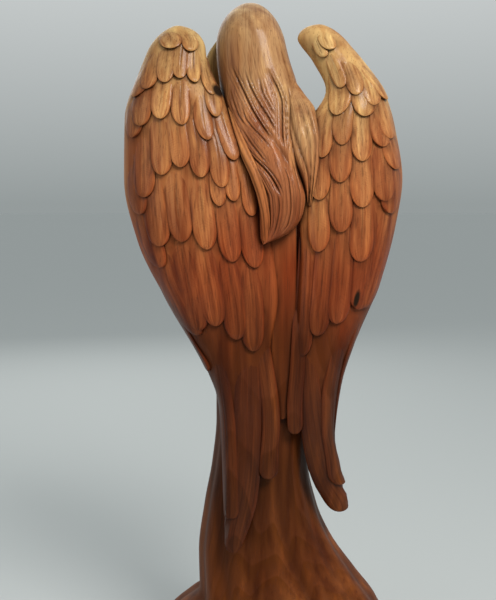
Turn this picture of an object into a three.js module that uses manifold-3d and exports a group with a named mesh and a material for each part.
// A carved wooden angel, about 600 mm tall: figure, folded wings and low round base cut from one block.
// Millimetres, +Z up. The figure faces -Y, its left side is +X, and the origin is the middle of the
// underside.

import * as THREE from "three";
import { LoftGeometry } from "three/addons/geometries/LoftGeometry.js";
import { mergeVertices } from "three/addons/utils/BufferGeometryUtils.js";
import Module from "manifold-3d";

const wasm = await Module();
wasm.setup();

// A smooth curve through [position, value] pairs that never swings past them and is flat beyond its ends.
function curve(...knots) {
  const last = knots.length - 1;
  const step = knots.slice(1).map(([x], i) => x - knots[i][0]);
  const rise = step.map((width, i) => (knots[i + 1][1] - knots[i][1]) / width);
  const slope = knots.map((knot, i) => {
    if (i === 0) return rise[0];
    if (i === last) return rise[last - 1];
    const product = rise[i - 1] * rise[i];
    return product > 0 ? (2 * product) / (rise[i - 1] + rise[i]) : 0;
  });
  return (position) => {
    const x = THREE.MathUtils.clamp(position, knots[0][0], knots[last][0]);
    const found = knots.findIndex(([start]) => start >= x);
    const i = Math.max(found, 1) - 1;
    const t = (x - knots[i][0]) / step[i];
    const rest = 1 - t;
    return (
      (1 + 2 * t) * rest * rest * knots[i][1] +
      t * rest * rest * step[i] * slope[i] +
      t * t * (3 - 2 * t) * knots[i + 1][1] -
      t * t * rest * step[i] * slope[i + 1]
    );
  };
}

// Driving dimensions

const BASE = { radius: 123, height: 22, chamfer: 3, sides: 32 };

// The robe and body: the reach to each side and to back and front, by height.
const BODY = {
  left: curve(
    [20, 108], [45, 98], [66, 76], [82, 58], [117, 58.5], [165, 52.5], [200, 46], [240, 42],
    [300, 42], [350, 36], [400, 34], [450, 48], [482, 56], [500, 42], [514, 25], [532, 22],
  ),
  right: curve(
    [20, -114], [50, -112], [71, -104], [98, -84], [129, -62], [159, -48.5], [200, -40], [240, -41],
    [300, -48], [350, -46], [400, -40], [450, -46], [482, -50], [500, -30], [514, -10], [532, -4],
  ),
  back: curve(
    [20, 106], [45, 96], [75, 72], [110, 54], [160, 45], [220, 42], [300, 42], [400, 42],
    [450, 41], [485, 35], [505, 24], [532, 16],
  ),
  front: curve(
    [20, -106], [45, -98], [75, -76], [110, -58], [160, -46], [220, -41], [300, -40], [360, -34],
    [410, -31], [450, -38], [480, -32], [500, -20], [514, -12], [532, -14],
  ),
  squareness: 2.3,
  around: 42,
  levels: [10, 44, 68, 86, 112, 150, 200, 265, 400, 445, 478, 496, 514, 532],
};

// Valleys cut between the folds of the robe: direction in degrees at the hem, how far it turns
// by mid-height, depth and half-width in degrees. 90 is the back and 270 the front.
const FOLDS = [
  { at: 14, turn: 8, depth: 4, width: 9 },
  { at: 49, turn: 4, depth: 3, width: 8 },
  { at: 71, turn: 8, depth: 2, width: 7 },
  { at: 107, turn: 0, depth: 7, width: 6 },
  { at: 138, turn: 10, depth: 2.5, width: 9 },
  { at: 168, turn: 6, depth: 4, width: 9 },
  { at: 196, turn: 0, depth: 4, width: 9 },
  { at: 216, turn: -4, depth: 8, width: 8 },
  { at: 243, turn: -4, depth: 7, width: 7 },
  { at: 266, turn: -2, depth: 9, width: 7 },
  { at: 290, turn: 6, depth: 7, width: 7 },
  { at: 317, turn: 8, depth: 8, width: 8 },
  { at: 343, turn: 8, depth: 6, width: 8 },
];
// How much of that depth is cut, by height
const FOLD_SHARE = curve([20, 1.55], [70, 1.5], [130, 0.9], [220, 0.4], [300, 0.25], [390, 0]);
const FOLD_TURN_HEIGHT = 230;

// The strip of robe between the wings: its middle line, half width and depth
const STRIP = {
  middle: curve([247, -13.5], [300, -15], [420, -14]),
  halfWidth: 12,
  halfTip: 2,
  end: 247,
  round: 9,
  depth: 38,
  halfDepth: 6,
  squareness: 3.2,
  around: 10,
  levels: [247, 249, 256, 300, 420],
};

// The wings: edges, depths and thickness by height. Each wing curves from the back round to the side.
const WINGS = [
  {
    side: 1,
    top: 573,
    tip: 158,
    topRound: 20,
    inner: curve(
      [150, 20], [170, 15], [198, 8], [226, -4], [250, -7], [300, -4], [348, -11], [397, -5], [446, 5],
      [470, 13], [495, 28], [520, 37], [535, 46], [554, 50], [577, 51],
    ),
    outer: curve(
      [150, 34], [199, 36], [254, 40], [284, 51], [343, 87], [395, 113], [447, 124.5], [499, 123],
      [540, 108], [560, 99], [577, 93],
    ),
    rootDepth: curve([150, 49], [200, 45], [250, 42], [400, 41], [450, 38], [500, 32], [540, 22], [577, 16]),
    edgeDepth: curve([150, 45], [200, 38], [254, 24], [284, 10], [340, -6], [470, -16], [540, -8], [577, 0]),
    bulge: curve([150, 2], [230, 4], [300, 14], [400, 22], [500, 22], [577, 14]),
    thickness: curve([150, 8], [250, 11], [350, 15], [450, 19], [577, 26]),
    // Rows of feathers, from the top of the wing down
    rows: [
      { from: 0.32, to: 0.6, count: 2, tips: [550, 552], length: 16, width: 15 },
      { from: 0.14, to: 0.92, count: 6, tips: [515, 528, 523, 514], length: 32, width: 14 },
      { from: 0.15, to: 0.95, count: 6, tips: [497, 478, 490, 495, 490, 481], length: 40, width: 16 },
      { from: 0.16, to: 0.94, count: 7, tips: [462, 440, 448, 456, 450, 432, 418], length: 52, width: 17.5 },
      { from: 0.12, to: 0.33, count: 3, tips: [417, 429, 425], length: 40, width: 14 },
      { from: 0.17, to: 0.95, count: 6, tips: [375, 380, 390, 396, 392, 374], length: 62, width: 20 },
      { from: 0.24, to: 0.95, count: 5, tips: [306, 316, 327, 322, 318], length: 80, width: 20 },
    ],
    // The long flight feathers that end the wing, each along its own course
    flights: [
      {
        course: curve([286, 48], [330, 76], [400, 100]),
        tip: 286, length: 110, width: 13, tipShare: 0.12, rise: 1.2,
      },
      {
        course: curve([136, 24.2], [151, 23], [165, 21.5], [180, 19.5], [210, 16.5], [300, 15.5]),
        tip: 136, length: 205, width: 26, tipShare: 0.16, rise: 0.8,
      },
      {
        course: curve([198, -2], [226, -3.3], [242, -4.3], [258, -3.5], [283, -0.2], [304, 3]),
        tip: 198, length: 125, width: 16, tipShare: 0.07, rise: 1.1,
      },
      {
        course: curve([165, 30], [240, 33], [280, 38], [320, 46]),
        tip: 165, length: 165, width: 14.5, tipShare: 0.05, rise: 1.6,
      },
    ],
  },
  {
    side: -1,
    top: 574,
    tip: 176,
    topRound: 14,
    inner: curve(
      [160, -58], [172, -54], [206, -40], [234, -33], [301, -27], [389, -30], [413, -28], [446, -25],
      [487, -32], [520, -51], [543, -41], [563, -28], [577, -27],
    ),
    outer: curve(
      [160, -73], [172, -72.5], [200, -65], [230, -60], [273, -67], [316, -84], [360, -103], [413, -117],
      [447, -122], [490, -115], [524, -102], [548, -84], [564, -70], [577, -62],
    ),
    rootDepth: curve([160, 24], [200, 34], [250, 40], [400, 41], [450, 38], [500, 32], [540, 22], [577, 16]),
    edgeDepth: curve([160, 12], [230, 8], [273, 2], [340, -8], [470, -16], [540, -8], [577, 0]),
    bulge: curve([160, 3], [230, 6], [300, 14], [400, 22], [500, 22], [577, 14]),
    thickness: curve([160, 8], [250, 11], [350, 15], [450, 19], [577, 26]),
    rows: [
      { from: 0.3, to: 0.5, count: 2, tips: [545, 551], length: 15, width: 11.5 },
      { from: 0.3, to: 0.86, count: 4, tips: [520, 514, 506, 512], length: 30, width: 13 },
      { from: 0.32, to: 0.88, count: 3, tips: [498, 497, 480], length: 40, width: 20 },
      { from: 0.24, to: 0.92, count: 5, tips: [464, 474, 461, 473, 455], length: 44, width: 17 },
      { from: 0.22, to: 0.95, count: 5, tips: [430, 444, 424, 429, 419], length: 54, width: 19.5 },
      { from: 0.2, to: 0.62, count: 3, tips: [388, 404, 380], length: 58, width: 19.5 },
      { from: 0.1, to: 0.95, count: 5, tips: [301, 319, 329, 340, 341], length: 98, width: 18 },
    ],
    flights: [
      {
        course: curve([235, -27.5], [260, -26], [290, -27]),
        tip: 235, length: 55, width: 13, tipShare: 0.16, rise: 1.6,
      },
      {
        course: curve([163, -65.5], [174, -61.5], [187, -54.5], [206, -47.5], [240, -41.5], [300, -37]),
        tip: 163, length: 175, width: 20, tipShare: 0.09, rise: 0.6,
      },
      {
        course: curve([188, -64.5], [198, -61], [212, -58], [239, -53.8], [263, -54.5], [320, -66]),
        tip: 188, length: 140, width: 13.5, tipShare: 0.1, rise: 2.4,
      },
    ],
  },
];
const WING_EDGE_ROUND = 0.6;
const WING_CORE = { around: 12, levels: 15, crowding: 1.2, topGap: 0.4, tipRound: 14 };
const FEATHER = { sunk: 4, edge: 0.6, crown: 1.6, rootRise: -2, tipRise: 2, tipShare: 0.2 };
// Flight feathers are thicker, lie on the wing's full thickness, and have deeper roots
const FLIGHT = { sunk: 9, fullness: 0.8, rootSunk: 6, rootCurve: 8 };
// Width along a feather from its root to the start of its tip, and along the tip
const FEATHER_TAPER = curve([0, 0.9], [0.5, 1], [1, 0.96]);
const TIP_TAPER = curve([0, 0.96], [0.6, 0.74], [1, 0.35]);
const TIP_STATIONS = [0, 0.65, 1];
// No longer stretch of a feather is straight, and no feather reaches past this place across the wing
const LONGEST_STRETCH = 60;
const OUTERMOST = 0.94;
// Over this much of the wing's width beside the outer edge, feathers stand less and less proud, down to
// this share
const EDGE_FADE = 0.16;
const EDGE_LEAST = 0.25;

// The hair: a smooth cap over the head that falls in one bunch down the middle of the back
const HAIR = {
  top: 596,
  topRound: 34,
  left: curve(
    [394, 2], [400, 4], [430, 5], [454, 13], [486, 27], [516, 36], [555, 40.5], [580, 39.5], [596, 37],
  ),
  right: curve(
    [394, -1], [403, -17], [416, -29], [432, -33], [456, -28], [480, -32], [503, -32], [528, -26.5],
    [547, -20.5], [565, -16.5], [596, -13],
  ),
  back: curve(
    [394, 57], [420, 61], [445, 60], [470, 55], [500, 47], [530, 40], [556, 37], [580, 33], [596, 22],
  ),
  front: curve(
    [394, 44], [440, 28], [480, 8], [505, 2], [520, -6], [560, -14], [572, -31], [584, -36], [596, -26],
  ),
  grooveDepth: curve([394, 1.2], [410, 2.4], [500, 2.4], [525, 1.4], [545, 0]),
  gather: curve([394, 0.6], [454, 0.42], [525, 1]),
  grooves: 6,
  outerSpacing: 0.55,
  sway: 0.07,
  swayHeight: 20,
  grooveShape: 0.7,
  squareness: 2.2,
  around: 26,
  levels: [394, 400, 412, 430, 448, 468, 488, 508, 528, 550, 570, 583, 591, 595.8],
};
// A smaller bunch beside it, over the root of the right wing
const SIDE_BUNCH = {
  left: curve([425, -34], [444, -30], [470, -20], [502, -16], [532, -14]),
  right: curve([425, -38], [444, -42.5], [470, -46.5], [504, -41], [516, -33], [532, -22]),
  back: curve([425, 52], [450, 56], [480, 53.5], [500, 46], [516, 36], [532, 24]),
  front: 22,
  squareness: 2.4,
  around: 10,
  levels: [425, 436, 452, 470, 488, 504, 518, 532],
};
// Single locks: from the temples down to the chest, and along the left edge of the fall. Middle points
// and radii.
const LOCKS = [
  {
    path: [[32, -8, 570], [42, -8, 545], [39, -15, 515], [33, -32, 482], [29, -38, 458]],
    radius: [5, 9, 9, 7, 3],
  },
  {
    path: [[32, 26, 524], [25, 40, 500], [12.5, 50, 470], [3, 54, 440], [-2, 51, 398]],
    radius: [4, 6, 8, 7, 3],
  },
  {
    path: [[-9, -8, 572], [-13, -12, 545], [-13, -18, 515], [-12, -32, 482], [-8, -38, 458]],
    radius: [5, 7, 7, 6, 3],
  },
];
const LOCK_SECTION = { stations: 6, around: 6, squareness: 2.1 };

// The head under the hair. Heights are measured from the chin along the face.
const HEAD = {
  place: [11, 3, 518],
  bow: 8,
  turn: 4,
  halfWidth: curve([0, 8], [5, 14], [14, 20], [28, 24], [42, 26], [58, 25], [68, 17], [74, 4]),
  front: curve(
    [0, -20], [3, -25.5], [8, -27.5], [14, -26.5], [30, -26.5], [44, -28.5], [54, -28], [66, -20], [74, -6],
  ),
  back: curve([0, 8], [20, 18], [50, 24], [68, 16], [74, 2]),
  nose: { bottom: 21, tip: 24.5, top: 42, out: 8.5, halfWidth: 4.2 },
  eyes: {
    height: 37, apart: 10.5, halfWidth: 5.5, halfHeight: 4,
    socket: 3, socketSize: 1.7, lid: 2.4, lidSize: 0.8,
  },
  mouth: { upper: 15.6, lower: 12, thick: 1.5, halfWidth: 7, out: 1.7 },
  chin: { height: 5, halfHeight: 4, halfWidth: 8, out: 1.5 },
  squareness: 2.2,
  around: 22,
  // How strongly the corners of a slice crowd towards the middle of the face
  crowding: 0.5,
  levels: [0, 4, 8.5, 12, 13.8, 15.6, 20, 24.5, 31, 37, 43, 54, 67, 74],
};
const NECK = {
  path: [[4, 4, 490], [7, 2, 510], [10, 0, 530]],
  radius: 15,
  section: { stations: 3, around: 12, squareness: 2.1 },
};

// Sleeves, from the shoulder round the elbow to the wrist, and the joined hands
const SLEEVE = {
  path: [[33, 2, 488], [51, -5, 452], [48, -20, 420], [34, -42, 414], [9, -56, 428]],
  halfWidth: curve([0, 11], [0.3, 15], [0.5, 15], [0.8, 13], [1, 12]),
  above: curve([0, 10], [0.25, 14], [0.5, 14], [1, 11]),
  below: curve([0, 10], [0.25, 14], [0.4, 15], [0.7, 24], [1, 34]),
  section: { stations: 7, around: 11, squareness: 2.1 },
};
const HANDS = {
  place: [4, -58, 424],
  lean: 12,
  length: 58,
  stations: 6,
  around: 10,
  squareness: 2.4,
  halfWidth: curve([0, 9], [18, 8.5], [34, 7], [50, 5], [58, 3.4]),
  depth: curve([0, 9], [12, 10], [26, 11.5], [42, 9], [54, 5.5], [58, 3.5]),
};
const SHOULDER_CENTRE = 3;
const SMALLEST_DETAIL = 0.5;

const range = (count) => Array.from({ length: count }, (empty, i) => i);
const mix = THREE.MathUtils.lerp;
const hump = (distance, width) => Math.exp(-((distance / width) ** 2));
// How far a rounded end has opened at a distance from its pole: 0 at the pole, 1 at its full width
const roundEnd = (distance, radius) => {
  const left = 1 - THREE.MathUtils.clamp(distance / radius, 0, 1);
  return Math.sqrt(1 - left * left);
};
// The cosine and sine of an angle, pushed outwards to a squarer oval
const oval = (angle, squareness) => {
  const push = (value) => Math.sign(value) * Math.abs(value) ** (2 / squareness);
  return [push(Math.cos(angle)), push(Math.sin(angle))];
};

// A closed solid skinned through sections, each a ring of points. Both ends are closed by a fan to
// the middle of the end ring.
function carve(sections) {
  const gather = (ring) => {
    const middle = ring.reduce((sum, point) => sum.add(point), new THREE.Vector3()).divideScalar(ring.length);
    return ring.map(() => middle);
  };
  const loft = new LoftGeometry([gather(sections[0]), ...sections, gather(sections.at(-1))]);
  const skin = new THREE.BufferGeometry().setAttribute("position", loft.getAttribute("position"));
  skin.setIndex(loft.index);
  const merged = mergeVertices(skin, 1e-3);
  const corners = merged.index.array;
  const kept = range(corners.length / 3)
    .map((i) => [corners[3 * i], corners[3 * i + 1], corners[3 * i + 2]])
    .filter(([a, b, c]) => a !== b && b !== c && c !== a);
  const mesh = new wasm.Mesh({
    numProp: 3,
    vertProperties: merged.attributes.position.array,
    triVerts: new Uint32Array(kept.flat()),
  });
  return new wasm.Manifold(mesh);
}

// The robe and body, sliced level: an oval whose folds are valleys cut towards the middle
function body() {
  return carve(
    BODY.levels.map((z) => {
      const middleX = (BODY.left(z) + BODY.right(z)) / 2;
      const middleY = (BODY.back(z) + BODY.front(z)) / 2;
      const halfX = (BODY.left(z) - BODY.right(z)) / 2;
      const halfY = (BODY.back(z) - BODY.front(z)) / 2;
      return range(BODY.around).map((i) => {
        const angle = (2 * Math.PI * i) / BODY.around;
        const [across, deep] = oval(angle, BODY.squareness);
        const inward = 1 - foldDepth(THREE.MathUtils.radToDeg(angle), z) / Math.hypot(halfX, halfY);
        return new THREE.Vector3(middleX + halfX * across * inward, middleY + halfY * deep * inward, z);
      });
    }),
  );
}

// How deep the robe is cut at a direction in degrees and a height
function foldDepth(direction, z) {
  return FOLDS.reduce((sum, fold) => {
    const valley = fold.at + (fold.turn * z) / FOLD_TURN_HEIGHT;
    const away = THREE.MathUtils.euclideanModulo(direction - valley + 180, 360) - 180;
    return sum + fold.depth * FOLD_SHARE(z) * hump(away, fold.width);
  }, 0);
}

// The tail of the robe between the wings, ending in a scallop above the folds
function strip() {
  const { middle, halfWidth, halfTip, end, round, depth, halfDepth, squareness, around, levels } = STRIP;
  return carve(
    levels.map((z) => {
      const open = roundEnd(z - end, round);
      return range(around).map((i) => {
        const [across, deep] = oval((2 * Math.PI * i) / around, squareness);
        const reach = mix(halfTip, halfWidth, open);
        return new THREE.Vector3(middle(z) + reach * across, depth + halfDepth * deep, z);
      });
    }),
  );
}

// The turned block under the hem
function base() {
  const { radius, height, chamfer, sides } = BASE;
  const rings = [
    [0, radius - chamfer],
    [chamfer, radius],
    [height - chamfer, radius],
    [height, radius - chamfer],
  ];
  return carve(
    rings.map(([z, r]) =>
      range(sides).map((i) => {
        const angle = (2 * Math.PI * i) / sides;
        return new THREE.Vector3(r * Math.cos(angle), r * Math.sin(angle), z);
      }),
    ),
  );
}

// A level slice through a wing is a slab along a bowed line from its root at the spine to its outer edge.
// Returns the point at a share of the way along that line, and the direction that looks out of the back.
function wingLine(wing, share, z) {
  const open = roundEnd(wing.top - z, wing.topRound);
  const halfThickness = (wing.thickness(z) / 2) * open;
  const middle = (wing.inner(z) + wing.outer(z)) / 2;
  const rootX = mix(middle, wing.inner(z), open);
  const edgeX = mix(middle, wing.outer(z), open) - wing.side * halfThickness;
  const rootY = wing.rootDepth(z);
  const edgeY = wing.edgeDepth(z);
  const shoulderY = rootY + wing.bulge(z);
  const rest = 1 - share;
  const x = rest * rest * rootX + (1 - rest * rest) * edgeX;
  const y = rest * rest * rootY + 2 * share * rest * shoulderY + share * share * edgeY;
  const alongX = rest * (edgeX - rootX);
  const alongY = rest * (shoulderY - rootY) + share * (edgeY - shoulderY);
  const length = Math.hypot(alongX, alongY) || 1;
  return { x, y, outX: (-wing.side * alongY) / length, outY: (wing.side * alongX) / length, halfThickness };
}

// A point on the wing's back, at a place across it as seen from behind (0 at the spine, 1 at the
// outer edge), a height, and a distance proud of the surface. The thickness stays above a share,
// fullness, even past the edges.
function wingBack(wing, place, z, proud, fullness) {
  const share = 1 - Math.sqrt(1 - THREE.MathUtils.clamp(place, 0, 0.995));
  const line = wingLine(wing, share, z);
  const beyond = Math.min(place, 0) * (wing.outer(z) - wing.inner(z));
  const swell = (2 * Math.sqrt(share * (1 - share))) ** WING_EDGE_ROUND;
  const out = line.halfThickness * Math.max(swell, fullness) + proud;
  return new THREE.Vector3(line.x + beyond + line.outX * out, line.y + line.outY * out, z);
}

// The slab under the feathers. Its levels crowd towards the rounded top.
function wingCore(wing) {
  const { around, levels, crowding, topGap, tipRound } = WING_CORE;
  return carve(
    range(levels + 1).map((j) => {
      const share = Math.sin((Math.PI / 2) * (j / levels)) ** crowding;
      const z = mix(wing.tip, wing.top - topGap, share);
      const end = roundEnd(z - wing.tip + 1, tipRound);
      const ring = range(around).map((i) => {
        const angle = (2 * Math.PI * i) / around;
        const line = wingLine(wing, (1 - Math.cos(angle)) / 2, z);
        const swell = Math.sign(Math.sin(angle)) * Math.abs(Math.sin(angle)) ** WING_EDGE_ROUND;
        const out = line.halfThickness * swell * end;
        return new THREE.Vector3(line.x + line.outX * out, line.y + line.outY * out, z);
      });
      return wing.side > 0 ? ring.reverse() : ring;
    }),
  );
}

// One feather, a tongue that lies on the wing's back with its root sunk in and its tip raised. It keeps
// its place across the wing, or follows its own course.
function feather(wing, { place, course, tip, length, width, rise = 0, tipShare = FEATHER.tipShare }) {
  const { sunk, fullness, rootSunk } = course ? FLIGHT : { sunk: FEATHER.sunk, fullness: 0, rootSunk: 0 };
  const corners = [-1, 0, 1];
  const straight = 1 - tipShare;
  const stretches = Math.ceil((length * straight) / LONGEST_STRETCH);
  const blade = range(stretches).map((i) => ({
    t: (straight * i) / stretches,
    share: FEATHER_TAPER(i / stretches),
  }));
  const rounded = TIP_STATIONS.map((into) => ({ t: straight + tipShare * into, share: TIP_TAPER(into) }));
  return carve(
    [...blade, ...rounded].map(({ t, share }) => {
      const z = tip + length * (1 - t);
      const halfWidth = (share * width) / 2;
      const wingWidth = Math.abs(wing.outer(z) - wing.inner(z)) * roundEnd(wing.top - z, wing.topRound);
      const middle = course
        ? ((course(z) - wing.inner(z)) * wing.side) / wingWidth
        : Math.min(place, OUTERMOST - width / 2 / wingWidth);
      const rootDip = rootSunk * (1 - t) ** FLIGHT.rootCurve;
      const lift = mix(FEATHER.rootRise, FEATHER.tipRise, t) + rise * t - rootDip;
      const ring = corners.map((across) => {
        const at = middle + (across * halfWidth) / wingWidth;
        const flush = THREE.MathUtils.clamp((1 - at) / EDGE_FADE, EDGE_LEAST, 1);
        const crown = mix(FEATHER.crown, FEATHER.edge, across * across);
        const proud = (crown + Math.max(lift, 0)) * flush + Math.min(lift, 0);
        return wingBack(wing, at, z, proud, fullness);
      });
      ring.push(wingBack(wing, middle, z, lift - sunk, fullness));
      return wing.side > 0 ? ring : ring.reverse();
    }),
  );
}

// All feathers of a wing: rows from formula, then the flight feathers
function feathers(wing) {
  const inRows = wing.rows.flatMap((row) => {
    const tipLine = curve(...row.tips.map((height, i) => [i / (row.tips.length - 1), height]));
    return range(row.count).map((i) => {
      const along = i / (row.count - 1);
      return { ...row, place: mix(row.from, row.to, along), tip: tipLine(along) };
    });
  });
  return [...inRows, ...wing.flights].map((shape) => feather(wing, shape));
}

// The hair, sliced level: each slice is an oval, and grooves run down it towards the gathering place
function hair() {
  return carve(
    HAIR.levels.map((z) => {
      const open = roundEnd(HAIR.top - z, HAIR.topRound);
      const middleX = (HAIR.left(z) + HAIR.right(z)) / 2;
      const middleY = (HAIR.back(z) + HAIR.front(z)) / 2;
      const halfX = ((HAIR.left(z) - HAIR.right(z)) / 2) * open;
      const halfY = ((HAIR.back(z) - HAIR.front(z)) / 2) * open;
      return range(HAIR.around).map((i) => {
        const [across, deep] = oval((2 * Math.PI * i) / HAIR.around, HAIR.squareness);
        const sunk = Math.max(deep, 0) * hairGroove((across + 1) / 2, z);
        return new THREE.Vector3(middleX + halfX * across, middleY + halfY * deep - sunk, z);
      });
    }),
  );
}

// Depth of the grooves between locks, at a share of the way from the right edge to the left edge
function hairGroove(share, z) {
  const stream = share / HAIR.gather(z) + HAIR.sway * Math.sin(z / HAIR.swayHeight);
  const strand = stream < 1 ? HAIR.grooves * stream : HAIR.grooves + (stream - 1) / HAIR.outerSpacing;
  return HAIR.grooveDepth(z) * (1 - Math.abs(Math.sin(Math.PI * strand)) ** HAIR.grooveShape);
}

function sideBunch() {
  return carve(
    SIDE_BUNCH.levels.map((z) => {
      const middleX = (SIDE_BUNCH.left(z) + SIDE_BUNCH.right(z)) / 2;
      const halfX = (SIDE_BUNCH.left(z) - SIDE_BUNCH.right(z)) / 2;
      const middleY = (SIDE_BUNCH.back(z) + SIDE_BUNCH.front) / 2;
      const halfY = (SIDE_BUNCH.back(z) - SIDE_BUNCH.front) / 2;
      return range(SIDE_BUNCH.around).map((i) => {
        const [across, deep] = oval((2 * Math.PI * i) / SIDE_BUNCH.around, SIDE_BUNCH.squareness);
        return new THREE.Vector3(middleX + halfX * across, middleY + halfY * deep, z);
      });
    }),
  );
}

// A solid whose oval section follows a smooth path. Its sideways direction is carried from station to
// station without twisting, and shape gives the section's reach to the side, up and down.
function along(path, { stations, around, squareness }, shape) {
  const line = new THREE.CatmullRomCurve3(path.map((point) => new THREE.Vector3(...point)));
  const aside = new THREE.Vector3(1, 0, 0);
  return carve(
    range(stations + 1).map((j) => {
      const t = j / stations;
      const centre = line.getPoint(t);
      const ahead = line.getTangent(t);
      aside.addScaledVector(ahead, -aside.dot(ahead)).normalize();
      const over = new THREE.Vector3().crossVectors(ahead, aside);
      const { side, above, below } = shape(t);
      return range(around).map((i) => {
        const [across, high] = oval((2 * Math.PI * i) / around, squareness);
        const reach = over.z * high > 0 ? above : below;
        return centre
          .clone()
          .addScaledVector(aside, across * side)
          .addScaledVector(over, high * reach);
      });
    }),
  );
}

function locks() {
  return LOCKS.map(({ path, radius }) => {
    const size = curve(...radius.map((value, i) => [i / (radius.length - 1), value]));
    return along(path, LOCK_SECTION, (t) => ({ side: size(t), above: size(t), below: size(t) }));
  });
}

function sleeves() {
  return [1, -1].map((side) => {
    const path = SLEEVE.path.map(([x, y, z]) => [SHOULDER_CENTRE + side * x, y, z]);
    return along(path, SLEEVE.section, (t) => ({
      side: SLEEVE.halfWidth(t),
      above: SLEEVE.above(t),
      below: SLEEVE.below(t),
    }));
  });
}

// Both hands laid palm to palm, fingers up
function hands() {
  const [x, y, z] = HANDS.place;
  const lean = Math.tan(THREE.MathUtils.degToRad(HANDS.lean));
  return carve(
    range(HANDS.stations + 1).map((j) => {
      const up = (HANDS.length * j) / HANDS.stations;
      return range(HANDS.around).map((i) => {
        const [across, deep] = oval((2 * Math.PI * i) / HANDS.around, HANDS.squareness);
        return new THREE.Vector3(
          x + HANDS.halfWidth(up) * across,
          y - up * lean + HANDS.depth(up) * deep,
          z + up,
        );
      });
    }),
  );
}

// How far the face stands out, at a distance from its middle line and a height above the chin
function faceRelief(across, up) {
  const { nose, eyes, mouth, chin } = HEAD;
  const bridge = (nose.top - up) / (nose.top - nose.tip);
  const underside = (up - nose.bottom) / (nose.tip - nose.bottom);
  const noseOut = nose.out * Math.max(Math.min(bridge, underside), 0) * hump(across, nose.halfWidth);
  const fromEye = Math.hypot(
    (Math.abs(across) - eyes.apart) / eyes.halfWidth,
    (up - eyes.height) / eyes.halfHeight,
  );
  const eyeOut = eyes.lid * hump(fromEye, eyes.lidSize) - eyes.socket * hump(fromEye, eyes.socketSize);
  const lips = hump(up - mouth.upper, mouth.thick) + hump(up - mouth.lower, mouth.thick);
  const mouthOut = mouth.out * lips * hump(across, mouth.halfWidth);
  const chinOut = chin.out * hump(up - chin.height, chin.halfHeight) * hump(across, chin.halfWidth);
  return noseOut + eyeOut + mouthOut + chinOut;
}

function head() {
  const pose = new THREE.Matrix4()
    .makeTranslation(...HEAD.place)
    .multiply(new THREE.Matrix4().makeRotationZ(THREE.MathUtils.degToRad(HEAD.turn)))
    .multiply(new THREE.Matrix4().makeRotationX(THREE.MathUtils.degToRad(HEAD.bow)));
  return carve(
    HEAD.levels.map((up) => {
      const middleY = (HEAD.back(up) + HEAD.front(up)) / 2;
      const halfY = (HEAD.back(up) - HEAD.front(up)) / 2;
      return range(HEAD.around).map((i) => {
        // The angle is 0 at the middle of the face
        const turn = (2 * Math.PI * i) / HEAD.around;
        const [deep, across] = oval(turn - HEAD.crowding * Math.sin(turn), HEAD.squareness);
        const x = HEAD.halfWidth(up) * across;
        const facing = Math.max(deep, 0);
        const y = middleY - halfY * deep - facing * faceRelief(x, up);
        return new THREE.Vector3(x, y, up).applyMatrix4(pose);
      });
    }),
  );
}

function neck() {
  const { path, radius, section } = NECK;
  return along(path, section, () => ({ side: radius, above: radius, below: radius }));
}

const pieces = [
  base(),
  body(),
  strip(),
  ...WINGS.map(wingCore),
  ...WINGS.flatMap(feathers),
  hair(),
  sideBunch(),
  ...locks(),
  head(),
  neck(),
  ...sleeves(),
  hands(),
];
const joined = pieces.reduce((whole, piece) => whole.add(piece)).simplify(SMALLEST_DETAIL);
// The largest skin is the statue: the others are pockets sealed in the wood between feathers
const statue = joined.decompose().reduce((one, other) => (other.volume() > one.volume() ? other : one));

function toGeometry(solid) {
  const mesh = solid.getMesh();
  const geometry = new THREE.BufferGeometry();
  geometry.setAttribute("position", new THREE.BufferAttribute(mesh.vertProperties, 3));
  geometry.setIndex(new THREE.BufferAttribute(mesh.triVerts, 1));
  geometry.computeVertexNormals();
  return geometry;
}

const carvedWood = new THREE.MeshStandardMaterial({ color: 0xa8673a, roughness: 0.42, metalness: 0 });
const figure = new THREE.Mesh(toGeometry(statue), carvedWood);
figure.name = "angel_statue";

const angel = new THREE.Group();
angel.add(figure);

export default angel;
